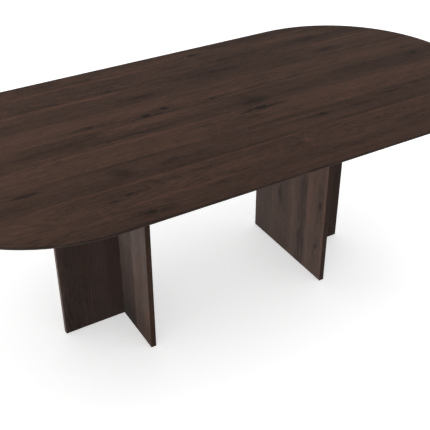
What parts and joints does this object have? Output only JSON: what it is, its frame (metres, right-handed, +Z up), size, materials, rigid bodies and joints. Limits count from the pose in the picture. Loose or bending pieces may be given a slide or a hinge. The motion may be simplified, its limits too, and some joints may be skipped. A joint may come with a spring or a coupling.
{
  "type": "conference table",
  "caption": "Long conference table with half-round ends and a thin bevelled edge, in dark-stained oak boards on T-shaped panel legs with levelling glides.",
  "frame": {"origin": "on the floor, below the middle of the top", "axes": "+X along the table to the right as pictured, +Y to the back, +Z up"},
  "size_m": [2.2, 1.03, 0.75],
  "materials": {
    "oak_top": "dark-stained oak, satin lacquer",
    "oak_leg": "dark-stained oak, satin lacquer",
    "black_steel": "black, matt",
    "zinc_steel": "zinc plated",
    "brass": "plain",
    "nylon": "black, fine-grained"
  },
  "bodies": {
    "table": {"top_board_1": "oak_top", "top_board_2": "oak_top", "top_board_3": "oak_top", "top_board_4": "oak_top", "top_board_5": "oak_top", "top_board_6": "oak_top", "top_board_7": "oak_top", "top_board_8": "oak_top", "top_board_9": "oak_top", "stiffener_channel": "black_steel", "channel_screw_front": "zinc_steel", "channel_screw_back": "zinc_steel", "left_cross_board_1": "oak_leg", "left_cross_board_2": "oak_leg", "left_cross_board_3": "oak_leg", "left_cross_board_4": "oak_leg", "left_stem_board_1": "oak_leg", "left_stem_board_2": "oak_leg", "left_mount_plate": "black_steel", "left_panel_screw_1": "zinc_steel", "left_panel_screw_2": "zinc_steel", "left_panel_screw_3": "zinc_steel", "left_top_insert_1": "brass", "left_top_insert_2": "brass", "left_top_insert_3": "brass", "left_top_insert_4": "brass", "left_plate_bolt_1": "black_steel", "left_plate_bolt_2": "black_steel", "left_plate_bolt_3": "black_steel", "left_plate_bolt_4": "black_steel", "left_glide_insert_1": "brass", "left_glide_insert_2": "brass", "left_glide_insert_3": "brass", "right_cross_board_1": "oak_leg", "right_cross_board_2": "oak_leg", "right_cross_board_3": "oak_leg", "right_cross_board_4": "oak_leg", "right_stem_board_1": "oak_leg", "right_stem_board_2": "oak_leg", "right_mount_plate": "black_steel", "right_panel_screw_1": "zinc_steel", "right_panel_screw_2": "zinc_steel", "right_panel_screw_3": "zinc_steel", "right_top_insert_1": "brass", "right_top_insert_2": "brass", "right_top_insert_3": "brass", "right_top_insert_4": "brass", "right_plate_bolt_1": "black_steel", "right_plate_bolt_2": "black_steel", "right_plate_bolt_3": "black_steel", "right_plate_bolt_4": "black_steel", "right_glide_insert_1": "brass", "right_glide_insert_2": "brass", "right_glide_insert_3": "brass"},
    "left_glide_1": {"left_glide_1": "nylon"},
    "left_glide_2": {"left_glide_2": "nylon"},
    "left_glide_3": {"left_glide_3": "nylon"},
    "right_glide_1": {"right_glide_1": "nylon"},
    "right_glide_2": {"right_glide_2": "nylon"},
    "right_glide_3": {"right_glide_3": "nylon"}
  },
  "joints": [
    {"name": "left_glide_1_travel", "type": "slide", "parent": "table", "child": "left_glide_1", "axis": [0, 0, -1], "range_m": [0, 0.01]},
    {"name": "left_glide_2_travel", "type": "slide", "parent": "table", "child": "left_glide_2", "axis": [0, 0, -1], "range_m": [0, 0.01]},
    {"name": "left_glide_3_travel", "type": "slide", "parent": "table", "child": "left_glide_3", "axis": [0, 0, -1], "range_m": [0, 0.01]},
    {"name": "right_glide_1_travel", "type": "slide", "parent": "table", "child": "right_glide_1", "axis": [0, 0, -1], "range_m": [0, 0.01]},
    {"name": "right_glide_2_travel", "type": "slide", "parent": "table", "child": "right_glide_2", "axis": [0, 0, -1], "range_m": [0, 0.01]},
    {"name": "right_glide_3_travel", "type": "slide", "parent": "table", "child": "right_glide_3", "axis": [0, 0, -1], "range_m": [0, 0.01]}
  ]
}
